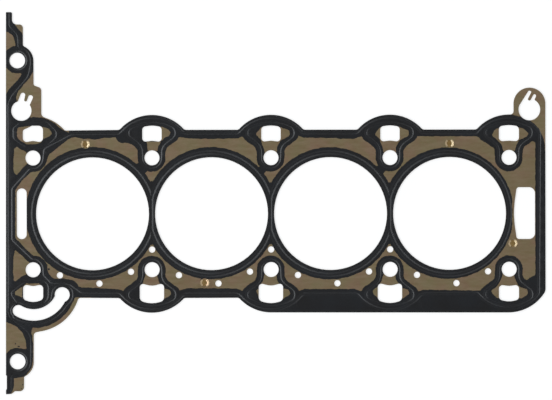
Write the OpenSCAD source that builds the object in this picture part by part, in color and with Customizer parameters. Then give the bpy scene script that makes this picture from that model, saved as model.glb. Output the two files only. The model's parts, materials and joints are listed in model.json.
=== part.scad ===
/* [Sheets] */
// Thickness of each beaded spring steel sheet
beaded_t = 0.25; // [0.25:0.01:0.3]
// Thickness of the flat sheet in the middle
middle_t = 0.3; // [0.2:0.05:0.8]
// Height of the pressed beads, which is also the gap between free sheets
bead_h = 0.24; // [0.18:0.01:0.24]

/* [Cylinder openings] */
// Diameter of the four cylinder openings
bore_d = 81.5; // [80:0.1:82]
// Diameter of the bead line round each cylinder opening
bore_bead_d = 89; // [88.6:0.1:89.4]

/* [Holes] */
// Diameter of the ten cylinder head bolt holes
bolt_hole_d = 10.8; // [10:0.1:11]
// Diameter of the two bolt holes in the end flange
flange_hole_d = 11.2; // [10:0.1:11.6]
// Diameter of the small coolant metering holes
metering_hole_d = 4.5; // [3:0.1:4.8]

/* [Rivets] */
// Diameter of the rivet heads
rivet_head_d = 5; // [4.4:0.1:5]
// Diameter of the rivet shanks
rivet_shank_d = 2.9; // [2:0.1:3]

/* [Hidden] */

$fn = 72;
pitch = 86;           // between neighbouring cylinder openings
row = 40.4;           // bolt rows above and below the bore line
bores = [-129, -43, 43, 129];
cols = [-172, -86, 0, 86, 172];
edge_l = -191.4;      // left edge of the sheets
edge_r = 198.3;       // right edge of the sheets
edge_t = 60.6;        // long edge above the bores
edge_b = -60.8;       // long edge below the bores, left part
edge_b2 = -71.4;      // long edge below the bores, right part
bump_r = 31;          // rounded ears about the head bolt holes
lobe_c = [-171.65, -51.66];   // centre of the curved slot and its lobe
lobe_r = 33.6;
flange_c = [[-183.2, 110.85], [-183.2, -106.65]];
rivet_c = [[-134.2, 50.3], [129, 50.6], [-48, -49.9], [174.7, -21.7]];
z_mid = beaded_t + bead_h;            // underside of the flat middle sheet
z_top = z_mid + middle_t + bead_h;    // underside of the head side sheet
stack = z_top + beaded_t;             // whole free height
e = 0.1;

// ---- paths: lists of [x, y, corner radius] ----
function unit(v) = v / norm(v);
function cross2(a, b) = a[0] * b[1] - a[1] * b[0];
function xy(p) = [p[0], p[1]];

// one rounded corner, as points in steps of about st degrees
function corner(a, p, b, r, st) =
    r <= 0 ? [xy(p)] :
    let (u = unit(xy(a) - xy(p)), v = unit(xy(b) - xy(p)), k = u * v)
    k < -0.9999 ? [xy(p)] :
    let (half = acos(k) / 2, c = xy(p) + unit(u + v) * r / sin(half),
         t1 = xy(p) + u * r / tan(half),
         a0 = atan2(t1[1] - c[1], t1[0] - c[0]),
         turn = 180 - 2 * half, s = cross2(u, v) > 0 ? -1 : 1,
         n = max(1, ceil(turn / st)))
    [for (i = [0:n]) c + r * [cos(a0 + s * turn * i / n), sin(a0 + s * turn * i / n)]];

function closed_path(p, st = 8) =
    let (n = len(p))
    [for (i = [0:n - 1]) each corner(p[(i + n - 1) % n], p[i], p[(i + 1) % n], p[i][2], st)];

function open_path(p, st = 8) =
    let (n = len(p))
    [for (i = [0:n - 1]) each (i == 0 || i == n - 1) ? [xy(p[i])] : corner(p[i - 1], p[i], p[i + 1], p[i][2], st)];

// points of an arc, first and last with their own corner radius
function arc(c, r, a0, a1, st, r0 = 0, r1 = 0) =
    let (n = max(2, ceil(abs(a1 - a0) / st)))
    [for (i = [0:n]) let (a = a0 + (a1 - a0) * i / n)
        [c[0] + r * cos(a), c[1] + r * sin(a), i == 0 ? r0 : i == n ? r1 : 0]];

function flip(p) = [for (q = p) [q[0], -q[1], q[2]]];
function shift(p, d) = [for (q = p) [q[0] + d[0], q[1] + d[1], q[2]]];
function back(p) = [for (i = [len(p) - 1:-1:0]) p[i]];

// ---- outline of the sheets, anticlockwise ----
function rise(y) = asin((y - row) / bump_r);
tab_c = [186.8, 79.3];
tab_r = edge_r - tab_c[0];
outline = concat(
    // lower flange
    [[-191.7, -116.2, 0.4], [-191.1, -117.2, 0.4], [-191.1, -126.2, 0.4], [-191.7, -127.4, 0.4],
     [-191.7, -130.3, 0.3], [-187.6, -130, 0.8], [-185.2, -128.1, 1], [-178.7, -128.1, 3],
     [-178.6, -117.9, 0.7]],
    arc([-183.2, -107], 11.6, -62, 0, 6),
    [[-171.6, -85.9, 2.6]],
    arc(lobe_c, lobe_r, -82, -15.6, 4, 0, 2.4),
    // lower edge
    arc([cols[1] - 0.15, -row - 0.1], bump_r, 180 + rise(-edge_b), 360 - rise(-edge_b), 4, 3, 3),
    arc([cols[2], -row], bump_r, 180 + rise(-edge_b), 270, 4, 3, 0),
    arc([cols[4] - 0.55, -row - 0.25], bump_r, 270, 330, 4, 0, 6),
    // right tab
    arc(tab_c, tab_r, 0, 180, 5),
    [[tab_c[0] - tab_r, row + 30.8, 2.5]],
    // upper edge
    arc([cols[4], row], bump_r, 88, 180 - rise(edge_t), 4, 0, 3),
    arc([cols[3], row], bump_r, rise(edge_t), 180 - rise(edge_t), 4, 3, 3),
    arc([cols[2], row], bump_r, rise(edge_t), 180 - rise(edge_t), 4, 3, 3),
    arc([cols[1], row], bump_r, rise(edge_t), 180 - rise(edge_t), 4, 3, 3),
    arc([cols[0], row], 30.4, rise(edge_t), 73, 4, 2, 0),
    // upper flange
    [[-165.9, 70.8, 3], [-165.9, 91, 3], [-171.5, 92.9, 1.8]],
    arc([-183.15, 110.5], 11.6, 0, 64, 6),
    [[-179.15, 121.6, 1.8], [-179.15, 136.9, 2.6], [-187, 136.9, 3.5], [-187, 145.8, 1], [edge_l, 145.8, 0.3]]
);

// ---- holes that are not plain circles ----
oil_top = [[-7, 62.75, 2.6], [-7, 51.85, 2.4], [0, 52.75, 8], [7, 51.85, 2.4], [7, 62.75, 2.6], [0, 63.85, 16]];
oil_top_end = [[-7.3, 62.9, 2.6], [-7.3, 52, 2.6], [0, 52.5, 8], [7.2, 52, 2.6], [7.2, 62.9, 3], [0, 63.9, 16]];
oil_top_first = [[-7.3, 60.6, 2], [-7.3, 51.5, 2.8], [0, 52.8, 5], [7.25, 51.5, 2.8], [7.25, 63.7, 3.2], [-0.9, 63.7, 1.5], [-3.4, 62.3, 1.5]];
oil_low = [[-8.95, -62.8, 3.4], [-0.15, -65.6, 19], [8.6, -62.8, 3.4], [8.6, -50.05, 2.4], [-0.15, -52.35, 12], [-8.95, -50.05, 2.4]];
oil_low_end = [[-7.4, -62.3, 3], [-0.1, -64.1, 16], [7.1, -62.3, 3], [7.1, -51.55, 2.6], [-0.1, -52.55, 10], [-7.4, -51.55, 2.6]];
oil_low_first = [[-7.25, -61.75, 3], [0, -64.5, 13], [7.25, -61.75, 3], [7.25, -50.85, 2.6], [0, -52.25, 8], [-7.25, -50.85, 2.6]];
slot_left = [[-183.7, -18.2, 3.45], [-176.6, -18.2, 3.45], [-176.6, 18.4, 3.45], [-183.7, 18.4, 3.45]];
slot_right = [[177.5, -18.55, 2], [190.75, -18.55, 4.4], [190.75, 18.85, 4.4], [177.5, 18.85, 2], [174.9, 0.15, 60]];
dowel_l = [-180.35, 74.6];
dowel_r = [186.75, 75];
hole_dowel_l = concat(
    [[-174.7, 86.3, 1.5], [-171.5, 85, 1.5]],
    arc(dowel_l, 7.3, 34, 124 - 360, 6),
    [[-182.9, 81.2, 1.6], [-180.5, 87.5, 1.5], [-177.2, 87.5, 1.5], [-178.5, 81.3, 0.95], [-176.6, 81.3, 0.95]]
);
hole_dowel_r = concat(
    [[190.1, 86.4, 0.9], [191.9, 85.3, 0.9], [190.6, 82.4, 0.5]],
    arc(dowel_r, 7.8, 60, 154.6 - 360, 6),
    [[186.3, 88.75, 0.9], [188.5, 88.1, 0.8], [185.4, 82.2, 0.95], [187.2, 81.1, 0.95]]
);
hole_lobe = concat(
    arc(lobe_c, 25.5, -25, 239 - 360, 5),
    arc(lobe_c + 21.35 * [cos(239), sin(239)], 4.15, 219, 79, 20),
    arc(lobe_c, 17.2, 239 - 360, -25, 5)
);
metering = concat(
    [for (b = bores) [b - 23.65, -44.4]],
    [for (b = bores) [b + 4.9, -50.4]],
    [for (b = bores) [b + 27.7, -41.9]],
    [for (x = [-86, 0, 86]) [x, -25.9]]
);

// ---- bead lines ----
// loop round one head bolt hole and the oil opening beyond it; far is the height of its top corner
function bell(far) = [[6.9, -6.9, 6.75], [6.9, 8.4, 9], [21.3, 19, 4.4], [0, far, far > 29 ? 30 : 34],
                      [-21.3, 19, 4.4], [-6.9, 8.4, 9], [-6.9, -6.9, 6.75]];
in_y = 57.9;      // coolant bead along the long edges
in_r = 28.9;      // and round the ears
in_a = asin((in_y - row) / in_r);
coolant_bead = concat(
    arc([cols[1], row], in_r, 180 - in_a, in_a, 13, 3, 3),
    arc([cols[2], row], in_r, 180 - in_a, in_a, 13, 3, 3),
    arc([cols[3], row], in_r, 180 - in_a, in_a, 13, 3, 3),
    arc([cols[4], row], in_r, 180 - in_a, 38.9, 13, 3, 2.5),
    arc([cols[4], -row], in_r, -38.9, in_a - 180, 13, 2.5, 3),
    arc([cols[3], -row], in_r, -in_a, in_a - 180, 13, 3, 3),
    arc([cols[2], -row], in_r, -in_a, in_a - 180, 13, 3, 3),
    arc([cols[1], -row], in_r, -in_a, in_a - 180, 13, 3, 3),
    [[-136.8, -in_y, 4], [-145.3, -51.4, 6], [-163.9, -49.3, 4.5]],
    arc([cols[0], -row], 7.2, -8, 95, 20),
    [[-174.6, -31.3, 3], [-187.3, -19.2, 4], [-187.3, 18.6, 4], [-174, 33.4, 2.5]],
    arc([cols[0], row], 7.2, -92, -2, 20),
    [[-164.2, 47.3, 4], [-144, in_y, 8]]
);
edge_bead = concat(
    [[-189, 144.4], [-189, 135.2, 5], [-183.2, 129.5, 5], [-182.3, 118.9, 2.4]],
    arc(flange_c[0], 9.6, 62, 2, 12),
    [[-173.7, 107.6, 6], [-175.4, 99.4, 9], [-186.9, 86.1, 12], [-189.9, 79.5, 10], [-189.9, -74.2, 8], [-173.6, -87.3, 9]],
    arc(flange_c[1], 9.5, 0, -84, 12),
    [[-187.9, -116.2, 2.2], [-187.9, -129]]
);
oil_loop_top = [[-186.4, 53.9, 5], [-186.4, 62.3, 5], [-180.9, 66.9, 6], [-162.5, 66.7, 7], [-153.4, 57.6, 4], [-163.2, 48.1, 4], [-176.8, 47.5, 3]];
oil_loop_low = [[-188.4, -56.6, 3.4], [-178, -48.8, 4], [-160.9, -48.8, 5], [-161.3, -65.5, 7.5], [-182, -65.5, 7]];
lobe_bead = concat(
    arc(lobe_c, 16, 239 - 360, -38, 10, 0, 2),
    arc([-150.7, -58.4], 7.1, 168, -52, 22),
    arc(lobe_c, 27.35, -32, 239 - 360, 10),
    arc(lobe_c + 21.6 * [cos(239), sin(239)], 5.6, 225, 73, 24)
);

// ---- solids ----
// points at the left of a flat path, w away from it
function side(q, w, loop) =
    let (n = len(q))
    [for (i = [0:n - 1])
        let (p = q[i],
             a = i > 0 ? q[i - 1] : loop ? q[n - 1] : 2 * q[0] - q[1],
             b = i < n - 1 ? q[i + 1] : loop ? q[0] : 2 * q[n - 1] - q[n - 2],
             d1 = unit(p - a), d2 = unit(b - p), n1 = [-d1[1], d1[0]], n2 = [-d2[1], d2[0]])
        p + w * (n1 + n2) / (1 + n1 * n2)];

// strip of half width w along a closed loop, or along an open line
module loop_strip(q, w) {
    n = len(q);
    polygon(concat(side(q, w, true), side(q, -w, true)), [[for (i = [0:n - 1]) i], [for (i = [0:n - 1]) n + i]]);
}

module line_strip(q, w) {
    polygon(concat(side(q, w, false), back(side(q, -w, false))));
}

ridge = 0.7;            // half width of the narrow beads, on the side where they stand out
groove = 0.42;          // and in the hollow behind them
bore_crest = 0.45;      // half width of the crest of the cylinder beads
bore_run = 0.8;         // how far their flanks spread over the bead height

module bore_section(lift) {
    s = bore_run / bead_h;
    w = bore_crest + s * (bead_h + e);
    polygon([[-w, lift - e], [w, lift - e], [bore_crest, lift + bead_h], [-bore_crest, lift + bead_h]]);
}

module bore_beads(lift) {
    reach = sqrt(pow(bore_bead_d / 2, 2) - pow(pitch / 2, 2));
    for (i = [0:3])
        intersection() {
            translate([bores[i], 0, 0]) rotate_extrude() translate([bore_bead_d / 2, 0]) bore_section(lift);
            translate([i == 0 ? bores[0] - 60 : bores[i] - pitch / 2, -60, -1])
                cube([(i == 0 ? 60 : pitch / 2) + (i == 3 ? 60 : pitch / 2), 120, 4]);
        }
    for (x = [-86, 0, 86])
        translate([x, reach, 0]) rotate([90, 0, 0]) linear_extrude(2 * reach) bore_section(lift);
}

// the pressed shape, raised by lift: with lift = beaded_t it is the ridge, with 0 the hollow behind it
module pressing(lift, w) {
    bore_beads(lift);
    translate([0, 0, lift - e]) linear_extrude(bead_h + e) {
        for (i = [1:4]) {
            loop_strip(closed_path(shift(bell(28.4), [cols[i], row]), 15), w);
            loop_strip(closed_path(flip(shift(bell(29.5), [cols[i], row])), 15), w);
        }
        loop_strip(closed_path(coolant_bead, 15), w);
        line_strip(open_path(edge_bead, 15), w);
        loop_strip(closed_path(oil_loop_top, 15), w);
        loop_strip(closed_path(oil_loop_low, 15), w);
        loop_strip(closed_path(lobe_bead, 15), w);
        for (c = flange_c) translate(c) difference() {
            circle(7.1 + w);
            circle(7.1 - w);
        }
    }
    // dishes that bring the sheets together under the rivet heads
    for (c = rivet_c)
        translate([c[0], c[1], lift - e]) cylinder(r1 = 3.2 + 0.5 * e / bead_h, r2 = 2.7, h = bead_h + e);
}

module sheet_shape() {
    difference() {
        polygon(closed_path(outline, 10));
        for (b = bores) translate([b, 0]) circle(d = bore_d);
        for (x = cols, y = [-row, row]) translate([x, y]) circle(d = bolt_hole_d);
        for (c = flange_c) translate(c) circle(d = flange_hole_d);
        for (c = metering) translate(c) circle(d = metering_hole_d);
        for (i = [1:3]) {
            polygon(closed_path(shift(oil_top, [cols[i], 0]), 10));
            polygon(closed_path(shift(oil_low, [cols[i], 0]), 10));
        }
        polygon(closed_path(shift(oil_top_end, [cols[4], 0]), 10));
        polygon(closed_path(shift(oil_low_end, [cols[4], 0]), 10));
        polygon(closed_path(shift(oil_top_first, [cols[0], 0]), 10));
        polygon(closed_path(shift(oil_low_first, [cols[0], 0]), 10));
        polygon(closed_path(slot_left, 10));
        polygon(closed_path(slot_right, 10));
        polygon(closed_path(hole_dowel_l, 10));
        polygon(closed_path(hole_dowel_r, 10));
        polygon(closed_path(hole_lobe, 10));
        translate([-151, -58.4]) circle(5.4);
    }
}

module rivet_holes() {
    for (c = rivet_c) translate([c[0], c[1], -1]) cylinder(d = rivet_shank_d + 0.1, h = 5);
}

// one beaded sheet, lying on its flat side with the beads pressed upwards
module beaded_sheet() {
    difference() {
        union() {
            linear_extrude(beaded_t) sheet_shape();
            pressing(beaded_t, ridge);
        }
        pressing(0, groove);
        rivet_holes();
    }
}

module block_side_beaded_sheet() {
    color([0.15, 0.15, 0.17]) beaded_sheet();
}

module flat_middle_sheet() {
    color([0.47, 0.41, 0.31]) translate([0, 0, z_mid]) difference() {
        linear_extrude(middle_t) sheet_shape();
        rivet_holes();
    }
}

module head_side_beaded_sheet() {
    color([0.15, 0.15, 0.17]) translate([0, 0, stack]) mirror([0, 0, 1]) beaded_sheet();
}

// flush rivet with a shallow cup in each head
module sheet_rivets() {
    r = rivet_head_d / 2;
    s = rivet_shank_d / 2;
    lo = bead_h;
    hi = stack - bead_h;
    color([0.86, 0.72, 0.45]) for (c = rivet_c) translate([c[0], c[1], 0])
        difference() {
            rotate_extrude() polygon([[0, lo - 0.2], [r - 0.25, lo - 0.2], [r, lo - 0.06], [r, lo], [s, lo], [s, hi],
                                      [r, hi], [r, hi + 0.06], [r - 0.25, hi + 0.2], [0, hi + 0.2]]);
            translate([0, 0, hi + 0.05]) cylinder(r1 = 1.1, r2 = 1.7, h = 0.16);
            translate([0, 0, lo - 0.21]) cylinder(r1 = 1.7, r2 = 1.1, h = 0.16);
        }
}

head_side_beaded_sheet();
flat_middle_sheet();
block_side_beaded_sheet();
sheet_rivets();
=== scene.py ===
import json
import math
import bpy
import numpy as np
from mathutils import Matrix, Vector, geometry

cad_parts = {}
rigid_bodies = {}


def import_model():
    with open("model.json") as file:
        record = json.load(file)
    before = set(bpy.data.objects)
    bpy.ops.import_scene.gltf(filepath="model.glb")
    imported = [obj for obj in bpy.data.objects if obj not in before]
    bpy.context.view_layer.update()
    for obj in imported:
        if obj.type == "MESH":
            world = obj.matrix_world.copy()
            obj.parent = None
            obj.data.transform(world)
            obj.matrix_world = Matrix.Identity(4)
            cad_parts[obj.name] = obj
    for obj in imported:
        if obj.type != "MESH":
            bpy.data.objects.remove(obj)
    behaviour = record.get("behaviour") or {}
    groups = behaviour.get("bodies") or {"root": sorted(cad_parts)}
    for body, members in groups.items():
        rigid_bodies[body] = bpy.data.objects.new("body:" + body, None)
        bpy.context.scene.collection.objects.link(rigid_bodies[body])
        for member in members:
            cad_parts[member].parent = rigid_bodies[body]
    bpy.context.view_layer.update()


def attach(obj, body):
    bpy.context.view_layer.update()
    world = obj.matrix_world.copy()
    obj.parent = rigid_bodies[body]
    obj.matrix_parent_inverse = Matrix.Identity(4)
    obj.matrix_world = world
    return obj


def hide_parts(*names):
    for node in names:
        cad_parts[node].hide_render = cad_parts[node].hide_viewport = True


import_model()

# ---------------------------------------------------------------- sizes, mm
BEADED_T = 0.25          # beaded sheets
BEAD_H = 0.24            # depth of the beads
STACK = 1.28             # whole free height
ROW = 40.4
BORES = [-129.0, -43.0, 43.0, 129.0]
COLS = [-172.0, -86.0, 0.0, 86.0, 172.0]
EDGE_L, EDGE_R, EDGE_T, EDGE_B = -191.4, 198.3, 60.6, -60.8
BUMP_R = 31.0
LOBE_C, LOBE_R = (-171.65, -51.66), 33.6
FLANGE_C = [(-183.2, 110.85), (-183.2, -106.65)]
RIVET_C = [(-134.2, 50.3), (129.0, 50.6), (-48.0, -49.9), (174.7, -21.7)]


# ---------------------------------------------------------------- paths: [x, y, corner radius]
def cosd(a):
    return math.cos(math.radians(a))


def sind(a):
    return math.sin(math.radians(a))


def unit(v):
    n = math.hypot(v[0], v[1])
    return (v[0] / n, v[1] / n)


def corner(a, p, b, r, st):
    if r <= 0:
        return [(p[0], p[1])]
    u = unit((a[0] - p[0], a[1] - p[1]))
    v = unit((b[0] - p[0], b[1] - p[1]))
    k = u[0] * v[0] + u[1] * v[1]
    if k < -0.9999:
        return [(p[0], p[1])]
    half = math.acos(max(-1.0, min(1.0, k))) / 2
    w = unit((u[0] + v[0], u[1] + v[1]))
    c = (p[0] + w[0] * r / math.sin(half), p[1] + w[1] * r / math.sin(half))
    t1 = (p[0] + u[0] * r / math.tan(half), p[1] + u[1] * r / math.tan(half))
    a0 = math.degrees(math.atan2(t1[1] - c[1], t1[0] - c[0]))
    turn = 180 - 2 * math.degrees(half)
    s = -1 if u[0] * v[1] - u[1] * v[0] > 0 else 1
    n = max(1, math.ceil(turn / st))
    return [(c[0] + r * cosd(a0 + s * turn * i / n), c[1] + r * sind(a0 + s * turn * i / n)) for i in range(n + 1)]


def rad(p):
    return p[2] if len(p) > 2 else 0


def closed_path(p, st=6):
    n = len(p)
    out = []
    for i in range(n):
        out += corner(p[i - 1], p[i], p[(i + 1) % n], rad(p[i]), st)
    return out


def open_path(p, st=6):
    n = len(p)
    out = []
    for i in range(n):
        out += [(p[i][0], p[i][1])] if i in (0, n - 1) else corner(p[i - 1], p[i], p[i + 1], rad(p[i]), st)
    return out


def arc(c, r, a0, a1, st, r0=0, r1=0):
    n = max(2, math.ceil(abs(a1 - a0) / st))
    out = []
    for i in range(n + 1):
        a = a0 + (a1 - a0) * i / n
        out.append((c[0] + r * cosd(a), c[1] + r * sind(a), r0 if i == 0 else r1 if i == n else 0))
    return out


def circle(c, r, n=72):
    return [(c[0] + r * math.cos(2 * math.pi * i / n), c[1] + r * math.sin(2 * math.pi * i / n)) for i in range(n)]


def flip(p):
    return [(q[0], -q[1], rad(q)) for q in p]


def shift(p, dx, dy):
    return [(q[0] + dx, q[1] + dy, rad(q)) for q in p]


def side(q, w, loop):
    """Points at the left of a flat path, w away from it."""
    n = len(q)
    out = []
    for i in range(n):
        p = q[i]
        a = q[i - 1] if i > 0 or loop else (2 * q[0][0] - q[1][0], 2 * q[0][1] - q[1][1])
        b = q[(i + 1) % n] if i < n - 1 or loop else (2 * q[-1][0] - q[-2][0], 2 * q[-1][1] - q[-2][1])
        d1, d2 = unit((p[0] - a[0], p[1] - a[1])), unit((b[0] - p[0], b[1] - p[1]))
        n1, n2 = (-d1[1], d1[0]), (-d2[1], d2[0])
        k = w / (1 + n1[0] * n2[0] + n1[1] * n2[1])
        out.append((p[0] + k * (n1[0] + n2[0]), p[1] + k * (n1[1] + n2[1])))
    return out


def tidy(q, loop, least=0.02):
    """Drops points that lie on their neighbour."""
    out = [q[0]]
    for p in q[1:]:
        if math.hypot(p[0] - out[-1][0], p[1] - out[-1][1]) > least:
            out.append(p)
    if loop and math.hypot(out[0][0] - out[-1][0], out[0][1] - out[-1][1]) <= least:
        out.pop()
    return out


def dense(q, loop, step):
    """Adds points along the long straights."""
    out = []
    n = len(q)
    for i in range(n if loop else n - 1):
        a, b = q[i], q[(i + 1) % n]
        k = max(1, math.ceil(math.hypot(b[0] - a[0], b[1] - a[1]) / step))
        out += [(a[0] + (b[0] - a[0]) * j / k, a[1] + (b[1] - a[1]) * j / k) for j in range(k)]
    if not loop:
        out.append(q[-1])
    return out


# ---------------------------------------------------------------- outline of the sheets
def rise(y):
    return math.degrees(math.asin((y - ROW) / BUMP_R))


TAB_C = (186.8, 79.3)
TAB_R = EDGE_R - TAB_C[0]
ra, rb = rise(EDGE_T), rise(-EDGE_B)
outline = (
    [(-191.7, -116.2, 0.4), (-191.1, -117.2, 0.4), (-191.1, -126.2, 0.4), (-191.7, -127.4, 0.4),
     (-191.7, -130.3, 0.3), (-187.6, -130, 0.8), (-185.2, -128.1, 1), (-178.7, -128.1, 3), (-178.6, -117.9, 0.7)]
    + arc((-183.2, -107), 11.6, -62, 0, 4)
    + [(-171.6, -85.9, 2.6)]
    + arc(LOBE_C, LOBE_R, -82, -15.6, 3, 0, 2.4)
    + arc((COLS[1] - 0.15, -ROW - 0.1), BUMP_R, 180 + rb, 360 - rb, 3, 3, 3)
    + arc((COLS[2], -ROW), BUMP_R, 180 + rb, 270, 3, 3, 0)
    + arc((COLS[4] - 0.55, -ROW - 0.25), BUMP_R, 270, 330, 3, 0, 6)
    + arc(TAB_C, TAB_R, 0, 180, 4)
    + [(TAB_C[0] - TAB_R, ROW + 30.8, 2.5)]
    + arc((COLS[4], ROW), BUMP_R, 88, 180 - ra, 3, 0, 3)
    + arc((COLS[3], ROW), BUMP_R, ra, 180 - ra, 3, 3, 3)
    + arc((COLS[2], ROW), BUMP_R, ra, 180 - ra, 3, 3, 3)
    + arc((COLS[1], ROW), BUMP_R, ra, 180 - ra, 3, 3, 3)
    + arc((COLS[0], ROW), 30.4, ra, 73, 3, 2, 0)
    + [(-165.9, 70.8, 3), (-165.9, 91, 3), (-171.5, 92.9, 1.8)]
    + arc((-183.15, 110.5), 11.6, 0, 64, 4)
    + [(-179.15, 121.6, 1.8), (-179.15, 136.9, 2.6), (-187, 136.9, 3.5), (-187, 145.8, 1), (EDGE_L, 145.8, 0.3)]
)

# ---------------------------------------------------------------- holes
oil_top = [(-7, 62.75, 2.6), (-7, 51.85, 2.4), (0, 52.75, 8), (7, 51.85, 2.4), (7, 62.75, 2.6), (0, 63.85, 16)]
oil_top_end = [(-7.3, 62.9, 2.6), (-7.3, 52, 2.6), (0, 52.5, 8), (7.2, 52, 2.6), (7.2, 62.9, 3), (0, 63.9, 16)]
oil_top_first = [(-7.3, 60.6, 2), (-7.3, 51.5, 2.8), (0, 52.8, 5), (7.25, 51.5, 2.8), (7.25, 63.7, 3.2),
                 (-0.9, 63.7, 1.5), (-3.4, 62.3, 1.5)]
oil_low = [(-8.95, -62.8, 3.4), (-0.15, -65.6, 19), (8.6, -62.8, 3.4), (8.6, -50.05, 2.4), (-0.15, -52.35, 12), (-8.95, -50.05, 2.4)]
oil_low_end = [(-7.4, -62.3, 3), (-0.1, -64.1, 16), (7.1, -62.3, 3), (7.1, -51.55, 2.6), (-0.1, -52.55, 10), (-7.4, -51.55, 2.6)]
oil_low_first = [(-7.25, -61.75, 3), (0, -64.5, 13), (7.25, -61.75, 3), (7.25, -50.85, 2.6), (0, -52.25, 8), (-7.25, -50.85, 2.6)]
slot_left = [(-183.7, -18.2, 3.45), (-176.6, -18.2, 3.45), (-176.6, 18.4, 3.45), (-183.7, 18.4, 3.45)]
slot_right = [(177.5, -18.55, 2), (190.75, -18.55, 4.4), (190.75, 18.85, 4.4), (177.5, 18.85, 2), (174.9, 0.15, 60)]
DOWEL_L, DOWEL_R = (-180.35, 74.6), (186.75, 75.0)
hole_dowel_l = ([(-174.7, 86.3, 1.5), (-171.5, 85, 1.5)] + arc(DOWEL_L, 7.3, 34, 124 - 360, 4)
                + [(-182.9, 81.2, 1.6), (-180.5, 87.5, 1.5), (-177.2, 87.5, 1.5), (-178.5, 81.3, 0.95), (-176.6, 81.3, 0.95)])
hole_dowel_r = ([(190.1, 86.4, 0.9), (191.9, 85.3, 0.9), (190.6, 82.4, 0.5)] + arc(DOWEL_R, 7.8, 60, 154.6 - 360, 4)
                + [(186.3, 88.75, 0.9), (188.5, 88.1, 0.8), (185.4, 82.2, 0.95), (187.2, 81.1, 0.95)])
LOBE_END = (LOBE_C[0] + 21.35 * cosd(239), LOBE_C[1] + 21.35 * sind(239))
hole_lobe = (arc(LOBE_C, 25.5, -25, 239 - 360, 4) + arc(LOBE_END, 4.15, 219, 79, 12) + arc(LOBE_C, 17.2, 239 - 360, -25, 4))
SLOT_END = (-151.0, -58.4)

holes = [circle((b, 0), 40.75, 240) for b in BORES]
holes += [circle((x, y), 5.4, 64) for x in COLS for y in (-ROW, ROW)]
holes += [circle(c, 5.6, 64) for c in FLANGE_C]
METERING = ([(b - 23.65, -44.4) for b in BORES] + [(b + 4.9, -50.4) for b in BORES]
            + [(b + 27.7, -41.9) for b in BORES] + [(x, -25.9) for x in (-86, 0, 86)])
holes += [circle(c, 2.25, 40) for c in METERING]
for x in COLS[1:4]:
    holes += [closed_path(shift(oil_top, x, 0)), closed_path(shift(oil_low, x, 0))]
holes += [closed_path(shift(oil_top_end, COLS[4], 0)), closed_path(shift(oil_low_end, COLS[4], 0)),
          closed_path(shift(oil_top_first, COLS[0], 0)), closed_path(shift(oil_low_first, COLS[0], 0)),
          closed_path(slot_left), closed_path(slot_right), closed_path(hole_dowel_l), closed_path(hole_dowel_r)]
# the curved slot and its round end, which run into each other
slot_pair = [closed_path(hole_lobe), circle(SLOT_END, 5.4, 64)]
rivet_holes = [circle(c, 1.5, 36) for c in RIVET_C]


# ---------------------------------------------------------------- bead lines
def bell(far, wide=21.9):
    return [(6.9, -6.9, 6.75), (6.9, 8.4, 9), (wide, 19, 4.4), (0, far, 30 if far > 30 else 34),
            (-wide, 19, 4.4), (-6.9, 8.4, 9), (-6.9, -6.9, 6.75)]


IN_Y, IN_R = 57.9, 28.9
IN_A = math.degrees(math.asin((IN_Y - ROW) / IN_R))
coolant_bead = (
    arc((COLS[1], ROW), IN_R + 0.5, 180 - IN_A, IN_A, 6, 3, 3)
    + arc((COLS[2], ROW), IN_R + 0.5, 180 - IN_A, IN_A, 6, 3, 3)
    + arc((COLS[3], ROW), IN_R + 0.5, 180 - IN_A, IN_A, 6, 3, 3)
    + arc((COLS[4], ROW), IN_R + 0.3, 180 - IN_A, 38.9, 6, 3, 2.5)
    + arc((COLS[4], -ROW), IN_R - 0.8, -38.9, IN_A - 180, 6, 2.5, 3)
    + arc((COLS[3], -ROW), IN_R + 0.3, -IN_A, IN_A - 180, 6, 3, 3)
    + arc((COLS[2], -ROW), IN_R + 0.3, -IN_A, IN_A - 180, 6, 3, 3)
    + arc((COLS[1], -ROW), IN_R + 0.3, -IN_A, IN_A - 180, 6, 3, 3)
    + [(-136.8, -IN_Y, 4), (-145.3, -51.6, 6), (-158.9, -50.8, 3), (-164.6, -44.6, 3)]
    + arc((COLS[0], -ROW), 7.2, -8, 95, 10)
    + [(-174.6, -31.3, 3), (-187.3, -19.2, 4), (-187.3, 18.6, 4), (-174, 33.4, 2.5)]
    + arc((COLS[0], ROW), 7.2, -92, -2, 10)
    + [(-164.2, 47.3, 4), (-144, IN_Y, 8)]
)
edge_bead = (
    [(-189, 144.4), (-189, 135.2, 5), (-183.2, 129.5, 5), (-182.3, 118.9, 2.4)]
    + arc(FLANGE_C[0], 9.6, 62, 2, 6)
    + [(-173.7, 107.6, 6), (-175.4, 99.4, 9), (-186.9, 86.1, 12), (-189.9, 79.5, 10), (-189.9, -74.2, 8), (-173.6, -87.3, 9)]
    + arc(FLANGE_C[1], 9.5, 0, -84, 6)
    + [(-187.9, -116.2, 2.2), (-187.9, -129)]
)
oil_loop_top = [(-186.4, 53.9, 5), (-186.4, 62.3, 5), (-180.9, 66.9, 6), (-162.5, 66.7, 7), (-153.4, 57.6, 4), (-163.2, 48.1, 4), (-176.8, 47.5, 3)]
oil_loop_low = [(-189, -57, 3.4), (-178, -48.8, 4), (-160.9, -48.8, 5), (-161.3, -65.5, 7.5), (-182.8, -66, 7)]
lobe_bead = (arc(LOBE_C, 16, 239 - 360, -38, 6, 0, 2) + arc(SLOT_END, 7.7, 168, -52, 12)
             + arc(LOBE_C, 27.8, -31, 239 - 360, 6) + arc(LOBE_END, 5.6, 225, 73, 12))

# each bead: points, closed, half width, depth, drop of the field that it encloses, and how much of its depth is left
# where it runs straight across the row
NARROW_W, BORE_W, EDGE_W = 1.3, 1.9, 0.97
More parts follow.
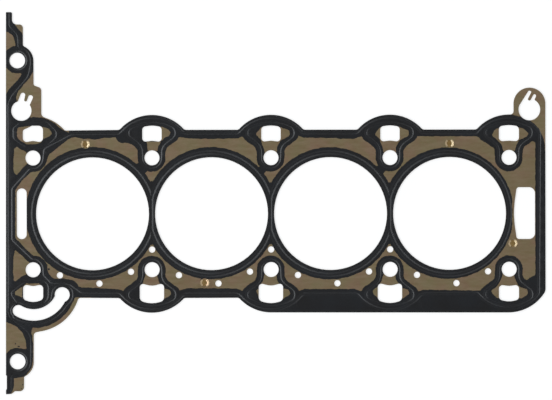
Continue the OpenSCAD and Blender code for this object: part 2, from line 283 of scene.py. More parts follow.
# the edge bead is shallower about the lower flange: share of its depth at some heights up the picture
EDGE_FADE = ([-124, -116, -110, -98, -88, -76, -68], [0.5, 0.6, 0.85, 0.85, 0.6, 0.6, 1])
BORE_D = 0.24
BORE_R = 44.3
bells_top = [closed_path(shift(bell(28.2, 21.1), x, ROW)) for x in COLS[1:]]
bells_low = [closed_path(flip(shift(bell(29.2, 21.1), x, ROW))) for x in COLS[1:]]
beads = []
for q in bells_top + bells_low:
    beads.append((tidy(q, True), True, NARROW_W, BEAD_H, 0.09, 0.5))
beads.append((tidy(closed_path(coolant_bead), True), True, NARROW_W, BEAD_H, -0.05, 0.55))
beads.append((tidy(open_path(edge_bead), False), False, EDGE_W, 0.13, 0, 0.5))
beads.append((tidy(closed_path(oil_loop_top), True), True, NARROW_W, 0.2, 0, 0.3))
beads.append((tidy(closed_path(oil_loop_low), True), True, NARROW_W, 0.2, 0, 0.35))
beads.append((tidy(closed_path(lobe_bead), True), True, NARROW_W, 0.18, 0, 0.5))
# the beads round the cylinder openings meet in one straight bead on each web
WEB_Y = math.sqrt(BORE_R ** 2 - 43.0 ** 2)
gap = math.degrees(math.asin(WEB_Y / BORE_R))
for i, b in enumerate(BORES):
    runs = []
    if i == 0:
        runs = [(gap, 360 - gap)]
    elif i == 3:
        runs = [(gap - 180, 180 - gap)]
    else:
        runs = [(gap, 180 - gap), (gap - 180, -gap)]
    for a0, a1 in runs:
        beads.append((arc((b, 0), BORE_R, a0, a1, 2), False, BORE_W, BORE_D, 0, 1))
for x in (-86.0, 0.0, 86.0):
    beads.append(([(x, -WEB_Y), (x, 0.0), (x, WEB_Y)], False, BORE_W, BORE_D, 0, 1))
# what the picture shows as a bead is its wall that faces the light, a little to the right of its bottom
BEAD_SHIFT = -0.7
beads = [([(p[0] + BEAD_SHIFT, p[1]) for p in q], *rest) for q, *rest in beads]
# the flange holes lie in shallow dishes
for c in FLANGE_C:
    beads.append((circle(c, 6.25, 64), True, 1.05, BEAD_H, 0, 1))

# ---------------------------------------------------------------- black print and bare fields
K_SHIFT = (-0.3, 0.0)


def bell_outer(col, low):
    q = [(p[0], p[1]) for p in closed_path(shift(bell(30.2 if low else 29), col, ROW))]
    if low:
        q = [(p[0], -p[1]) for p in q]
    q = tidy(q, True)
    q = side(q, 3.15 if low else -3.15, True)
    return [(p[0] + K_SHIFT[0], p[1] + K_SHIFT[1]) for p in q]


coolant_field = (
    [(-184.8, -17.2, 3), (-184.8, 17, 3), (-180.7, 23.2, 8), (-176.5, 27.4), (-173.3, 30.3, 3)]
    + arc((-172, 40.4), 10.2, -80, -5, 8)
    + [(-159.7, 43.5), (-155.8, 46.4), (-150.7, 50.6), (-146.8, 53.5, 3), (-144.2, 55.1, 2), (-141, 55.4, 4), (-136.5, 54.1, 6),
       (-132.6, 54.3), (-127.5, 53.5, 8), (-121.6, 54.7, 6), (-112.4, 55.2, 1.2), (-110.4, 52.2, 1.5), (-107.5, 51, 3),
       (-103.4, 51.2, 3), (-99.2, 49.6, 3), (-97, 46.5), (-86, 46),
       (-66.8, 55.2, 0.5), (-62, 54.9, 3), (-58.8, 54.3), (-44, 54), (-24, 54.4, 3), (-21.2, 55.6, 0.5), (0, 46),
       (19.9, 56.2, 0.5), (24, 54.8, 3), (47, 54.5), (50, 54), (60, 54, 4), (65.3, 55.6, 0.5), (86, 46),
       (106, 56, 0.5), (110, 55.7), (146, 55.7, 2), (150.2, 55.4, 2), (151.4, 53.1, 2), (155.9, 50.6, 3), (159.8, 47.8), (172, 44),
       (181.8, 47.8), (184, 50.6, 2), (187.4, 52.3, 2.5), (190.9, 51.8, 1.2), (190.9, -44.7, 2),
       (186.8, -46.5, 2), (184.6, -48.3, 1), (183.1, -47.6), (181.7, -45.9), (172, -44),
       (151, -55.8, 0.5), (110.2, -55.1), (105.8, -56.5, 0.5), (86, -46),
       (64.9, -56.1, 0.5), (60.5, -54.5, 3), (24, -54.5, 3), (19.2, -56.1, 0.5), (0, -46),
       (-20.7, -55.6, 0.5), (-26, -54, 5), (-61.1, -53.8, 3), (-66.1, -55.4, 0.5), (-86, -46),
       (-107.1, -55.8, 0.5), (-110.5, -54.4, 4), (-116, -54.2), (-130.8, -53.2), (-136.5, -53.3, 2), (-138.9, -52.3, 2),
       (-140.5, -50.2, 2), (-142.5, -48.2, 2), (-145.3, -47.4, 2), (-150.2, -46.7), (-154.4, -46.7), (-157.5, -46.7, 2),
       (-159.2, -44.9, 2), (-160.9, -42.6, 2), (-161.7, -39.4), (-161.8, -36.6, 2), (-163.7, -33.5, 2), (-166.9, -31.1, 3),
       (-169.3, -30.4), (-172, -29.9, 2), (-174.1, -28.4), (-178.2, -24.2), (-182.4, -19.7)]
)
RINGS = [((-129.4, 0.2), 48.1), ((-43.4, 0.4), 47.8), ((42.6, 0.2), 47.8), ((128.0, 0.2), 47.5)]

top_field = [(4.1, 3.5), (4.3, 7.6, 3), (7.2, 12.7, 2), (13.4, 15.6, 1.8), (13.6, 19.4, 1.8), (7.4, 22), (-7.1, 22),
             (-11, 16.9, 1.2), (-7.3, 13, 1.5), (-4.9, 5.2, 2), (-4.3, 3.3)]
top_field_2a = [(4.0, 5.0), (4.7, 8.6), (6.5, 11.8), (-3.9, 11.8), (-2.9, 5.0)]
top_field_2b = [(6.5, 22.2), (7.7, 22.2), (11.1, 21, 2), (13.4, 18.5, 1.5), (12.5, 16, 1.5), (9.3, 14.6, 2), (7.9, 12.9), (6.5, 12.5)]
top_field_5 = [(-7, 21), (-9, 20.8, 1), (-11, 19.2, 1.5), (-12.2, 15.8, 1.5), (-9.4, 13.3, 2), (-5.1, 9.1, 3), (-4.3, 4.6), (4.1, 4.6),
               (5.3, 9.1, 3), (7.5, 12.7, 2), (12.6, 15, 1.5), (14.5, 17.5, 1.5), (10.3, 20.6, 3), (7.2, 21.7), (0, 21.7)]
low_right = [(3.7, -3.9), (3.9, -5.5), (4.6, -8.1, 2), (6.2, -10.8), (8.9, -13.6, 1), (12.8, -14.6, 1.8), (14, -17.8, 1.8), (9, -21)]
low_field = low_right + [(-8, -20.6), (-9, -19.6), (-10.8, -15.2, 1), (-8.2, -12.8), (-7.2, -10.5), (-6, -8.1, 2), (-5.1, -4.6), (-4.7, -2.6)]
low_field_2 = low_right + [(-8, -20.6), (-8.2, -12.8), (-7.2, -10.5), (-6, -8.1, 2), (-5.1, -4.6), (-4.7, -2.6)]
low_field_45 = low_right + [(-8.5, -20.8), (-12.2, -17.8, 1.2), (-12.8, -15.3, 1.2), (-9.2, -12.7), (-8.2, -11.1), (-6, -8.1, 2),
                            (-5.1, -4.6), (-4.7, -2.6)]
low_field_5 = [(3.7, -3.9), (3.9, -5.5), (4.6, -8.1, 2), (6.2, -11.2), (8.0, -12.9, 1), (12.8, -14.6, 1.8), (14, -17.8, 1.8),
               (9, -21)] + low_field_45[8:]
first_top = [(-183.7, 58.5, 2.5), (-182.6, 62.6, 2), (-175.5, 63.4), (-165.2, 62.8), (-160.2, 61.6, 1.5), (-158.3, 58.2, 1.2),
             (-160, 55.9, 1.5), (-164.4, 54.4), (-166.3, 51.6, 1.5), (-168.6, 50.5, 1), (-176.6, 50.3, 1.5), (-180.4, 52.6, 2),
             (-183.5, 55.2, 2)]
first_low = [(-185, -57.3, 0.7), (-184.8, -56.2), (-181.7, -53.6, 2), (-179.3, -52.4), (-176.8, -50.3, 1.2), (-168.2, -50.2),
             (-166.4, -51, 0.5), (-169, -54), (-176, -60), (-180.2, -60.1, 1), (-182.4, -59.4), (-184.8, -58.6, 0.6)]
wedge_top = [(-185.5, 47, 1), (-183.6, 48.7, 1), (-180.4, 46.4), (-177.1, 44.8), (-175.5, 43), (-175.6, 36.8), (-176.5, 36),
             (-180.4, 32.2, 3), (-183.9, 27.7, 0.8), (-185.8, 30.3, 2), (-186.2, 36.1)]
wedge_low = [(-185.1, -25.8, 0.6), (-179.9, -30.4), (-174.8, -35.1), (-173.5, -41), (-177.2, -43.6), (-180.3, -45.3),
             (-184.8, -48.6, 0.6), (-185.9, -48, 0.5), (-186.4, -42.8), (-186.2, -32.5)]
flange_a = [(-191.6, 131.8), (-189.9, 131.5, 2), (-186.3, 128.6, 4), (-184.9, 125, 4), (-184.6, 121.5, 0.8), (-187.2, 120.9, 3),
            (-191.6, 117.6), (-196, 117.6), (-196, 131.8)]
tab_top = [(-185, 140), (-185, 137), (-184.8, 136.4, 1), (-180.6, 131.7, 4), (-179, 129), (-175, 129), (-175, 140)]
flange_b = [(-191.6, 106.2), (-190, 104.2, 3), (-187.3, 102.3, 4), (-184, 101.4, 5), (-180, 101.8, 0.8), (-180.6, 99.8, 3),
            (-184.6, 95), (-189.9, 89.5, 6), (-191.6, 86), (-196, 86), (-196, 106.2)]
flange_c = [(-170.9, 104.5), (-171.9, 102.3, 3), (-174.6, 98, 8), (-182.6, 88.6, 5), (-184.2, 84.2, 3), (-183.6, 81.2), (-180, 75),
            (-176, 72), (-173.6, 69.4, 0.5), (-171, 70.1, 2), (-165, 69.5, 6), (-159.5, 67.6, 8), (-155.8, 65, 8), (-150.5, 60.6, 3),
            (-146.2, 58.8), (-146, 62), (-140, 80), (-150, 104.5)]
flange_d = [(-191.6, -77.9), (-188.2, -79.4, 2), (-183.9, -81.6, 6), (-180.5, -84.8, 6), (-177.6, -90.5, 8), (-176.8, -97.6, 0.8),
            (-179.6, -97.6, 3), (-183.6, -96.4, 6), (-188.2, -97.8, 4), (-191.6, -100.8), (-196, -100.8), (-196, -77.9)]
crescent = ([(-130, -60.4), (-142.1, -60.5, 0.8)] + arc(LOBE_C, 30.9, -19, -84, 4)
            + [(-172.6, -82.2, 1), (-173.3, -86, 2), (-172.6, -90, 2), (-171.75, -95.5), (-165, -98), (-130, -98)])
flange_f = [(-186, -118.9, 0.6), (-180.4, -118, 3), (-177.9, -117, 4), (-175.3, -114.4, 5), (-173, -110.4, 5), (-172.2, -106, 4), (-172, -95),
            (-160, -95), (-160, -135), (-168, -135), (-189, -131), (-186.6, -127.6, 2), (-185.9, -123.5, 3)]
tab_right = [(172, 72.5), (174.6, 71.2, 2), (180, 69.9, 6), (187.5, 66.9, 8), (193.3, 62, 8), (197.2, 53.6, 10), (198.3, 44.8),
             (201, 45), (201, 95), (172, 95)]

def ragged(q, seed, amount=0.16):
    """The edge of a print: a closed path with small waves."""
    q = dense(tidy(q, True), True, 0.9)
    n = len(q)
    out = []
    s = 0.0
    for i in range(n):
        a, p, b = q[i - 1], q[i], q[(i + 1) % n]
        s += math.hypot(p[0] - a[0], p[1] - a[1])
        d = unit((b[0] - a[0], b[1] - a[1]))
        u = (math.sin(s * 0.71 + 1.3 * seed) + 0.8 * math.sin(s * 1.13 + 2.1 * seed + math.sin(s * 0.19 + seed))
             + 0.6 * math.sin(s * 2.3 + 0.7 * seed) + 0.4 * math.sin(s * 3.1 + 3.7 * seed))
        out.append((p[0] - d[1] * u * amount / 1.6, p[1] + d[0] * u * amount / 1.6))
    return out


# (finish, points), each painted over the ones before it
# the last two finishes are painted highlights: a bright gold crescent and a dimmer one in the dish about each rivet
BLACK, BARE, RIM_HIGHLIGHT, RIM_DIM_HIGHLIGHT = 0, 1, 2, 3
prints = [(BARE, closed_path(coolant_field))]
prints += [(BLACK, circle(c, r, 120)) for c, r in RINGS]
prints += [(BARE, closed_path([(174.1, -12.5, 1), (174.4, 0), (174.1, 13, 1), (178, 16), (178, -16)]))]
prints += [(BLACK, bell_outer(x, low)) for x in COLS[1:] for low in (False, True)]
prints += [(BARE, closed_path(shift(top_field_2a, COLS[1], ROW))), (BARE, closed_path(shift(top_field_2b, COLS[1], ROW))),
           (BARE, closed_path(shift(top_field, COLS[2], ROW))), (BARE, closed_path(shift(top_field, COLS[3], ROW))),
           (BARE, closed_path(shift(top_field_5, COLS[4], ROW))),
           (BARE, closed_path(shift(low_field_2, COLS[1], -ROW))), (BARE, closed_path(shift(low_field, COLS[2], -ROW))),
           (BARE, closed_path(shift(low_field_45, COLS[3], -ROW))), (BARE, closed_path(shift(low_field_5, COLS[4], -ROW)))]
prints += [(BARE, closed_path(q)) for q in (first_top, first_low, wedge_top, wedge_low, flange_a, tab_top, flange_b, flange_c,
                                             flange_d, crescent, flange_f, tab_right)]
# print that runs together between a ring and a bell
prints += [(BLACK, [(-98, 35.9), (-94.8, 37.2), (-88.8, 31.6), (-91.4, 28.7)]), (BLACK, [(-9.9, 33.2), (-6.9, 35), (-2.8, 31.4), (-5.4, 28.5)]),
           (BLACK, [(76, 34.2), (79.2, 36), (83.2, 31.2), (80.6, 28.4)])]
SPOTS = [(-48.7, -47.4, 2.4, 0.9), (-160.6, -39.8, 0.9, 0.7), (-184.8, -93.8, 0.35, 0.5), (-182.4, -95.8, 0.8, 0.35), (-179.6, -123.4, 0.4, 0.45), (-180.6, -126.2, 0.45, 0.4), (-183.4, -127.6, 0.7, 0.3),
         (-179.6, -57.2, 0.4, 4.0),
         (-86.4, 21.6, 1.5, 2.0), (-0.3, 21.2, 1.3, 1.6), (85.5, 21.2, 1.3, 1.6), (-86.4, -21, 1.3, 1.4), (-0.3, -21, 1.3, 1.1),
         (85.5, -21, 1.3, 1.4)]
prints += [(BLACK, [(x + a * cosd(6 * i), y + b * sind(6 * i)) for i in range(60)]) for x, y, a, b in SPOTS]
prints = [(k, ragged(q, i)) for i, (k, q) in enumerate(prints)]


# ---------------------------------------------------------------- tests on many points at once
def inside(points, poly):
    """Which points are inside a closed path."""
    q = np.asarray(poly, float)
    x, y = points[:, 0], points[:, 1]
    near = np.flatnonzero((x > q[:, 0].min()) & (x < q[:, 0].max()) & (y > q[:, 1].min()) & (y < q[:, 1].max()))
    out = np.zeros(len(points), bool)
    if not len(near):
        return out
    px, py = x[near], y[near]
    hit = np.zeros(len(near), bool)
    for (x0, y0), (x1, y1) in zip(q, np.roll(q, -1, 0)):
        if y0 == y1:
            continue
        cut = (y0 > py) != (y1 > py)
        hit ^= cut & (px < x0 + (py - y0) * (x1 - x0) / (y1 - y0))
    out[near] = hit
    return out


def to_line(points, q, loop, reach):
    """Distance to a path, the unit step away from it, and how upright it is, for the points within reach."""
    q = np.asarray(q, float)
    a = q if loop else q[:-1]
    b = np.roll(q, -1, 0) if loop else q[1:]
    dist = np.full(len(points), np.inf)
    away = np.zeros((len(points), 2))
    upright = np.zeros(len(points))
    for (x0, y0), (x1, y1) in zip(a, b):
        lo_x, hi_x, lo_y, hi_y = min(x0, x1) - reach, max(x0, x1) + reach, min(y0, y1) - reach, max(y0, y1) + reach
        near = np.flatnonzero((points[:, 0] > lo_x) & (points[:, 0] < hi_x) & (points[:, 1] > lo_y) & (points[:, 1] < hi_y))
        if not len(near):
            continue
        d = np.array([x1 - x0, y1 - y0])
        w = points[near] - (x0, y0)
        t = np.clip(w @ d / (d @ d), 0, 1)
        v = w - t[:, None] * d
        r = np.hypot(v[:, 0], v[:, 1])
        better = r < dist[near]
        k = near[better]
        dist[k] = r[better]
        away[k] = v[better] / np.maximum(r[better], 1e-9)[:, None]
        upright[k] = d[1] ** 2 / (d @ d)
    return dist, away, upright


WALL_GAIN = 1.4    # the walls are shaded a little steeper than they are


def groove(s, w, d):
    """Depth and slope of a pressed bead, at s from its line: a narrow bottom and nearly straight walls."""
    u = np.clip((np.abs(s) / w - 0.12) / 0.88, 0, 1)
    wall = np.where((u > 0) & (u < 1), (0.5 + 3 * u * (1 - u)) * d / (0.88 * w), 0)
    return -d * (1 - 0.5 * u - 0.5 * u * u * (3 - 2 * u)), WALL_GAIN * wall


def heights(points):
    """Height of the top face under its flat level and its slope, at each point."""
    h = np.zeros(len(points))
    g = np.zeros((len(points), 2))
    level = np.zeros(len(points))
    lg = np.zeros((len(points), 2))
    for q, loop, w, d, drop, least in beads:
        dist, away, upright = to_line(points, q, loop, w + 0.05)
        k = np.flatnonzero(dist < w)
        fade = np.interp(points[k, 1], *EDGE_FADE) if w == EDGE_W else 1
        hh, gg = groove(dist[k], w, fade * (d - abs(drop) * 0.5) * (least + (1 - least) * upright[k]))
        lower = hh < h[k]
        h[k[lower]] = hh[lower]
        g[k[lower]] = (gg[:, None] * away[k])[lower]
        if drop and loop:
            within = inside(points, q)
            s = np.where(dist < w, dist, w)
            s = np.where(within, s, -s) / w       # -1 outside, 1 inside
            part = 0.5 + 0.75 * s - 0.25 * s ** 3
            slope = (0.75 - 0.75 * s * s) / w
            if drop > 0:
                level += -drop * part
                lg += (-drop * slope * np.where(dist < w, 1, 0) * np.where(within, 1, -1))[:, None] * away
            else:
                level += drop * (1 - part)
                lg += (-drop * slope * np.where(dist < w, 1, 0) * np.where(within, 1, -1))[:, None] * away
    for c in RIVET_C:
        v = points - c
        r = np.hypot(v[:, 0], v[:, 1])
        k = np.flatnonzero(r < 3.6)
        u = np.clip((3.2 - r[k]) / 0.7, 0, 1)
        hh = -BEAD_H * (u * u * (3 - 2 * u))
        gg = BEAD_H * 6 * u * (1 - u) / 0.7
        lower = hh < h[k]
        h[k[lower]] = hh[lower]
        g[k[lower]] = (gg[:, None] * v[k] / np.maximum(r[k], 1e-9)[:, None])[lower]
    low = -BEAD_H
    total = np.maximum(h + level, low)
    return total, g + lg


# ---------------------------------------------------------------- one triangulation for the beaded sheets
def sheet_mesh():
    pts, edges = [], []

    def add(q, loop):
        n0 = len(pts)
        pts.extend(q)
        n = len(q)
        edges.extend((n0 + i, n0 + (i + 1) % n) for i in range(n if loop else n - 1))

    rim = tidy(closed_path(outline, 5), True)
    add(dense(rim, True, 4), True)
    for q in holes + slot_pair + rivet_holes:
        add(tidy(q, True), True)
    for c in RIVET_C:
        for r in (2.0, 2.5, 2.64, 2.78, 2.92, 3.06, 3.2):
            add(circle(c, r, 48), True)
    for q, loop, w, *rest in beads:
        base = dense(q, loop, 2.5)
        n_side = (0.0, 0.12, 0.4, 0.7, 1.0)
        for f in n_side:
            for s in ((1,) if f == 0 else (1, -1)):
                add(side(base, s * f * w, loop), loop)
    for kind, q in prints:
        add(tidy(q, True), True)
    out = geometry.delaunay_2d_cdt([Vector(p) for p in pts], edges, [], 0, 1e-4, False)
    v = np.array([tuple(p) for p in out[0]])
    t = np.array([tuple(f) for f in out[2]])
    area = ((v[t[:, 1], 0] - v[t[:, 0], 0]) * (v[t[:, 2], 1] - v[t[:, 0], 1])
            - (v[t[:, 1], 1] - v[t[:, 0], 1]) * (v[t[:, 2], 0] - v[t[:, 0], 0]))
    t[area < 0] = t[area < 0][:, ::-1]
    c = v[t].mean(1)
    keep = inside(c, rim) & (np.abs(area) > 1e-9)
    for q in holes + slot_pair + rivet_holes:
        keep &= ~inside(c, tidy(q, True))
    t, c = t[keep], c[keep]
    kind = np.zeros(len(t), int)
    for k, q in prints:
        kind[inside(c, tidy(q, True))] = k
    # in the dish about each rivet, the right side gets a bright gold crescent and the left side a dimmer one: both
    # painted highlights where the light catches the dish wall
    for rc in RIVET_C:
        k = np.flatnonzero(inside(c, circle(rc, 3.2, 48)))
        r = np.hypot(c[k, 0] - rc[0], c[k, 1] - rc[1])
        kind[k] = np.where(c[k, 0] - rc[0] > 0.5 * r, RIM_HIGHLIGHT, np.where(c[k, 0] - rc[0] < -0.62 * r, RIM_DIM_HIGHLIGHT, BARE))
    # a sliver that hangs on by a corner alone is left out
    root = list(range(len(t)))
    seen = {}

    def first(i):
        while root[i] != i:
            root[i] = root[root[i]]
            i = root[i]
        return i

    for i, (a, b, d) in enumerate(t.tolist()):
        for e in ((min(a, b), max(a, b)), (min(b, d), max(b, d)), (min(a, d), max(a, d))):
            if e in seen:
                root[first(i)] = first(seen[e])
            else:
                seen[e] = i
    part = np.array([first(i) for i in range(len(t))])
    main = part == np.bincount(part).argmax()
    t, kind = t[main], kind[main]
    used = np.unique(t)
    back = np.full(len(v), -1)
    back[used] = np.arange(len(used))
    return v[used], back[t], kind


def build_sheet(name, v, t, kind, mirrored, materials):
    """A closed sheet from the plan triangulation. The head side one lies with its flat level at the top of the stack."""
    h, g = heights(v)
    n = len(v)
    top = STACK + h
    low = STACK - BEADED_T + h
    low = np.maximum(low, STACK - BEADED_T - BEAD_H)
    up = np.column_stack([-g, np.ones(n)])
    up /= np.linalg.norm(up, axis=1)[:, None]
    xyz = np.vstack([np.column_stack([v, top]), np.column_stack([v, low])])
    # open edges of the triangulation, walked with the sheet at their left
    e = np.vstack([t[:, [0, 1]], t[:, [1, 2]], t[:, [2, 0]]])
    key = e[:, 0].astype(np.int64) * n + e[:, 1]
    rev = e[:, 1].astype(np.int64) * n + e[:, 0]
    rim = e[~np.isin(key, rev)]
    a, b = rim[:, 0], rim[:, 1]
    walls = np.column_stack([b, a, a + n, b + n])
    d = v[b] - v[a]
    wn = np.column_stack([d[:, 1], -d[:, 0], np.zeros(len(d))])
    wn /= np.maximum(np.linalg.norm(wn, axis=1), 1e-12)[:, None]
    loops = np.concatenate([t.ravel(), (t[:, ::-1] + n).ravel(), walls.ravel()])
    sizes = np.concatenate([np.full(2 * len(t), 3), np.full(len(walls), 4)])
    normals = np.vstack([up[t.ravel()], -up[t[:, ::-1].ravel()], np.repeat(wn, 4, 0)])
    mats = np.concatenate([kind, np.full(len(t), BARE), np.full(len(walls), BARE)])
    if mirrored:
        xyz[:, 2] = STACK - xyz[:, 2]
        normals[:, 2] *= -1
        starts = np.concatenate([[0], np.cumsum(sizes)[:-1]])
        order = np.concatenate([
            (starts[:2 * len(t), None] + [2, 1, 0]).ravel(),
            (starts[2 * len(t):, None] + [3, 2, 1, 0]).ravel()])
        loops, normals = loops[order], normals[order]
    me = bpy.data.meshes.new(name)
    me.vertices.add(len(xyz))
    me.vertices.foreach_set("co", (xyz / 1000).ravel())
    me.loops.add(len(loops))
    me.loops.foreach_set("vertex_index", loops.astype(np.int32))
    me.polygons.add(len(sizes))
    me.polygons.foreach_set("loop_start", np.concatenate([[0], np.cumsum(sizes)[:-1]]).astype(np.int32))
    me.polygons.foreach_set("material_index", mats.astype(np.int32))
    me.polygons.foreach_set("use_smooth", np.ones(len(sizes), bool))
    me.update(calc_edges=True)
    me.validate()
    if len(me.loops) == len(normals):
        me.normals_split_custom_set([tuple(x) for x in normals])
    for m in materials:
        me.materials.append(m)
    ob = bpy.data.objects.new(name, me)
    bpy.context.scene.collection.objects.link(ob)
    print("piece", name, "triangles", 2 * len(t) + 2 * len(walls))
    return ob


# ---------------------------------------------------------------- materials
def new_material(name):
    m = bpy.data.materials.new(name)
    m.use_nodes = True
    nt = m.node_tree
    for x in list(nt.nodes):
        nt.nodes.remove(x)
    out = nt.nodes.new("ShaderNodeOutputMaterial")
    sh = nt.nodes.new("ShaderNodeBsdfPrincipled")
    nt.links.new(sh.outputs[0], out.inputs[0])
    co = nt.nodes.new("ShaderNodeTexCoord")
    return m, nt, sh, co.outputs["Object"]


def noise(nt, vec, scale, detail=3.0, rough=0.5):
    x = nt.nodes.new("ShaderNodeTexNoise")
    x.inputs["Scale"].default_value = scale
    x.inputs["Detail"].default_value = detail
    x.inputs["Roughness"].default_value = rough
    nt.links.new(vec, x.inputs["Vector"])
    return x.outputs["Fac"]


def ramp(nt, fac, stops):
    x = nt.nodes.new("ShaderNodeValToRGB")
    x.color_ramp.elements[0].position, x.color_ramp.elements[0].color = stops[0][0], (*stops[0][1], 1)
    x.color_ramp.elements[1].position, x.color_ramp.elements[1].color = stops[-1][0], (*stops[-1][1], 1)
    for p, c in stops[1:-1]:
        el = x.color_ramp.elements.new(p)
        el.color = (*c, 1)
    nt.links.new(fac, x.inputs[0])
    return x.outputs[0]


def mix(nt, fac, a, b, kind="MIX"):
    x = nt.nodes.new("ShaderNodeMix")
    x.data_type = "RGBA"
    x.blend_type = kind
    for sock, val in ((x.inputs[0], fac), (x.inputs[6], a), (x.inputs[7], b)):
        if isinstance(val, (int, float)):
            sock.default_value = val
        elif isinstance(val, tuple):
            sock.default_value = (*val, 1)
        else:
            nt.links.new(val, sock)
    return x.outputs[2]


def mapped(nt, fac, lo, hi, a=0.3, b=0.7):
    x = nt.nodes.new("ShaderNodeMapRange")
    x.inputs["From Min"].default_value, x.inputs["From Max"].default_value = a, b
    x.inputs["To Min"].default_value, x.inputs["To Max"].default_value = lo, hi
    nt.links.new(fac, x.inputs["Value"])
    return x.outputs[0]


def bump(nt, sh, fac, strength, distance):
    x = nt.nodes.new("ShaderNodeBump")
    x.inputs["Strength"].default_value = strength
    x.inputs["Distance"].default_value = distance
    nt.links.new(fac, x.inputs["Height"])
    nt.links.new(x.outputs[0], sh.inputs["Normal"])


def stretched(nt, vec, scale, turn=(0, 0, 0)):
    x = nt.nodes.new("ShaderNodeMapping")
    x.inputs["Scale"].default_value = scale
    x.inputs["Rotation"].default_value = turn
    nt.links.new(vec, x.inputs["Vector"])
    return x.outputs[0]


def black_print():
    m, nt, sh, vec = new_material("black_rubber_print")
    broad = noise(nt, vec, 60, 3)
    fine = noise(nt, vec, 900, 4, 0.6)
    base = ramp(nt, broad, [(0.34, (0.0090, 0.0085, 0.0088)), (0.66, (0.0108, 0.0120, 0.0140))])
    base = mix(nt, mapped(nt, fine, 0.0, 0.35), base, (0.0130, 0.0135, 0.0150))
    nt.links.new(base, sh.inputs["Base Color"])
    nt.links.new(mapped(nt, fine, 0.275, 0.33), sh.inputs["Roughness"])
    sh.inputs["Specular IOR Level"].default_value = 0.5
    bump(nt, sh, noise(nt, vec, 2600, 3, 0.6), 0.05, 0.00003)
    return m


def bare_steel(name, tone=1.165):
    m, nt, sh, vec = new_material(name)
    broad = noise(nt, vec, 75, 4, 0.6)
    mid = noise(nt, stretched(nt, vec, (0.35, 1.6, 1)), 330, 4, 0.6)
    fine = noise(nt, stretched(nt, vec, (0.25, 2.0, 1)), 1500, 3, 0.6)
    base = ramp(nt, broad, [(0.34, (0.188 * tone, 0.113 * tone, 0.066 * tone)), (0.5, (0.172 * tone, 0.121 * tone, 0.059 * tone)),
                            (0.66, (0.164 * tone, 0.132 * tone, 0.060 * tone))])
    base = mix(nt, mapped(nt, mid, 0.0, 0.45), base, (0.225 * tone, 0.170 * tone, 0.105 * tone))
    base = mix(nt, mapped(nt, fine, 0.0, 0.25), base, (0.110 * tone, 0.080 * tone, 0.044 * tone))
    nt.links.new(base, sh.inputs["Base Color"])
    nt.links.new(mapped(nt, mid, 0.34, 0.44), sh.inputs["Roughness"])
    sh.inputs["Metallic"].default_value = 0.25
    bump(nt, sh, fine, 0.12, 0.00003)
    return m


# the rivet's gold, given only to the right side of each rivet's rim: a painted highlight
def rivet_highlight_metal():
    m, nt, sh, vec = new_material("golden_rivet_painted_highlight")
    fine = noise(nt, vec, 1400, 3, 0.6)
    # the rivet nearest to the lower edge is a little more copper
    sep = nt.nodes.new("ShaderNodeSeparateXYZ")
    nt.links.new(vec, sep.inputs[0])
    base = mix(nt, mapped(nt, sep.outputs[1], 0.0, 1.0, -0.045, -0.025), (0.72, 0.49, 0.33), (0.80, 0.65, 0.41))
    base = mix(nt, mapped(nt, fine, 0.0, 0.3), base, (0.42, 0.31, 0.18))
    nt.links.new(base, sh.inputs["Base Color"])
    nt.links.new(mapped(nt, fine, 0.26, 0.40), sh.inputs["Roughness"])
    sh.inputs["Metallic"].default_value = 0.9
    bump(nt, sh, fine, 0.15, 0.00004)
    return m


# duller copies of the rivet gold: a dimmer painted highlight for the left rim, and a dark brown that is the dish
# centre's colour and painted shade on the rim's top and bottom
def rivet_painted_light_copy(name, dark, light):
    m, nt, sh, vec = new_material(name)
    fine = noise(nt, vec, 1200, 3, 0.6)
    nt.links.new(ramp(nt, fine, [(0.3, dark), (0.7, light)]), sh.inputs["Base Color"])
    nt.links.new(mapped(nt, fine, 0.35, 0.5), sh.inputs["Roughness"])
    sh.inputs["Metallic"].default_value = 0.2
    bump(nt, sh, fine, 0.12, 0.00004)
    return m


# the bright gold crescent on the right of each rivet dish: a painted highlight
def painted_rim_highlight():
    m, nt, sh, vec = new_material("golden_rim_painted_highlight")
    fine = noise(nt, vec, 900, 3, 0.6)
    base = ramp(nt, fine, [(0.3, (0.44, 0.33, 0.20)), (0.7, (0.56, 0.43, 0.26))])
    nt.links.new(base, sh.inputs["Base Color"])
    nt.links.new(mapped(nt, fine, 0.30, 0.42), sh.inputs["Roughness"])
    sh.inputs["Metallic"].default_value = 0.6
    bump(nt, sh, fine, 0.12, 0.00004)
    return m


# painted highlights and painted shade for the rivets and the dishes about them
mat_rim_highlight = painted_rim_highlight()
mat_dim_highlight = rivet_painted_light_copy("dull_gold_painted_dim_highlight", (0.41, 0.30, 0.17), (0.53, 0.40, 0.24))
mat_dark_centre_and_shade = rivet_painted_light_copy("rivet_dark_centre_and_painted_shade", (0.18, 0.106, 0.028), (0.24, 0.146, 0.042))
mat_black, mat_bare, mat_middle, mat_rivet_highlight = black_print(), bare_steel("tinted_bare_steel"), bare_steel("middle_sheet_steel", 1.3), rivet_highlight_metal()

# ---------------------------------------------------------------- the pieces
v, t, kind = sheet_mesh()
head = build_sheet("head_side_sheet_pressed", v, t, kind, False, [mat_black, mat_bare, mat_rim_highlight, mat_dim_highlight])
block = build_sheet("block_side_sheet_pressed", v, t, kind, True, [mat_black, mat_bare, mat_rim_highlight, mat_dim_highlight])
for ob, node in ((head, "head_side_beaded_sheet"), (block, "block_side_beaded_sheet")):
    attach(ob, "root")
    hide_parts(node)


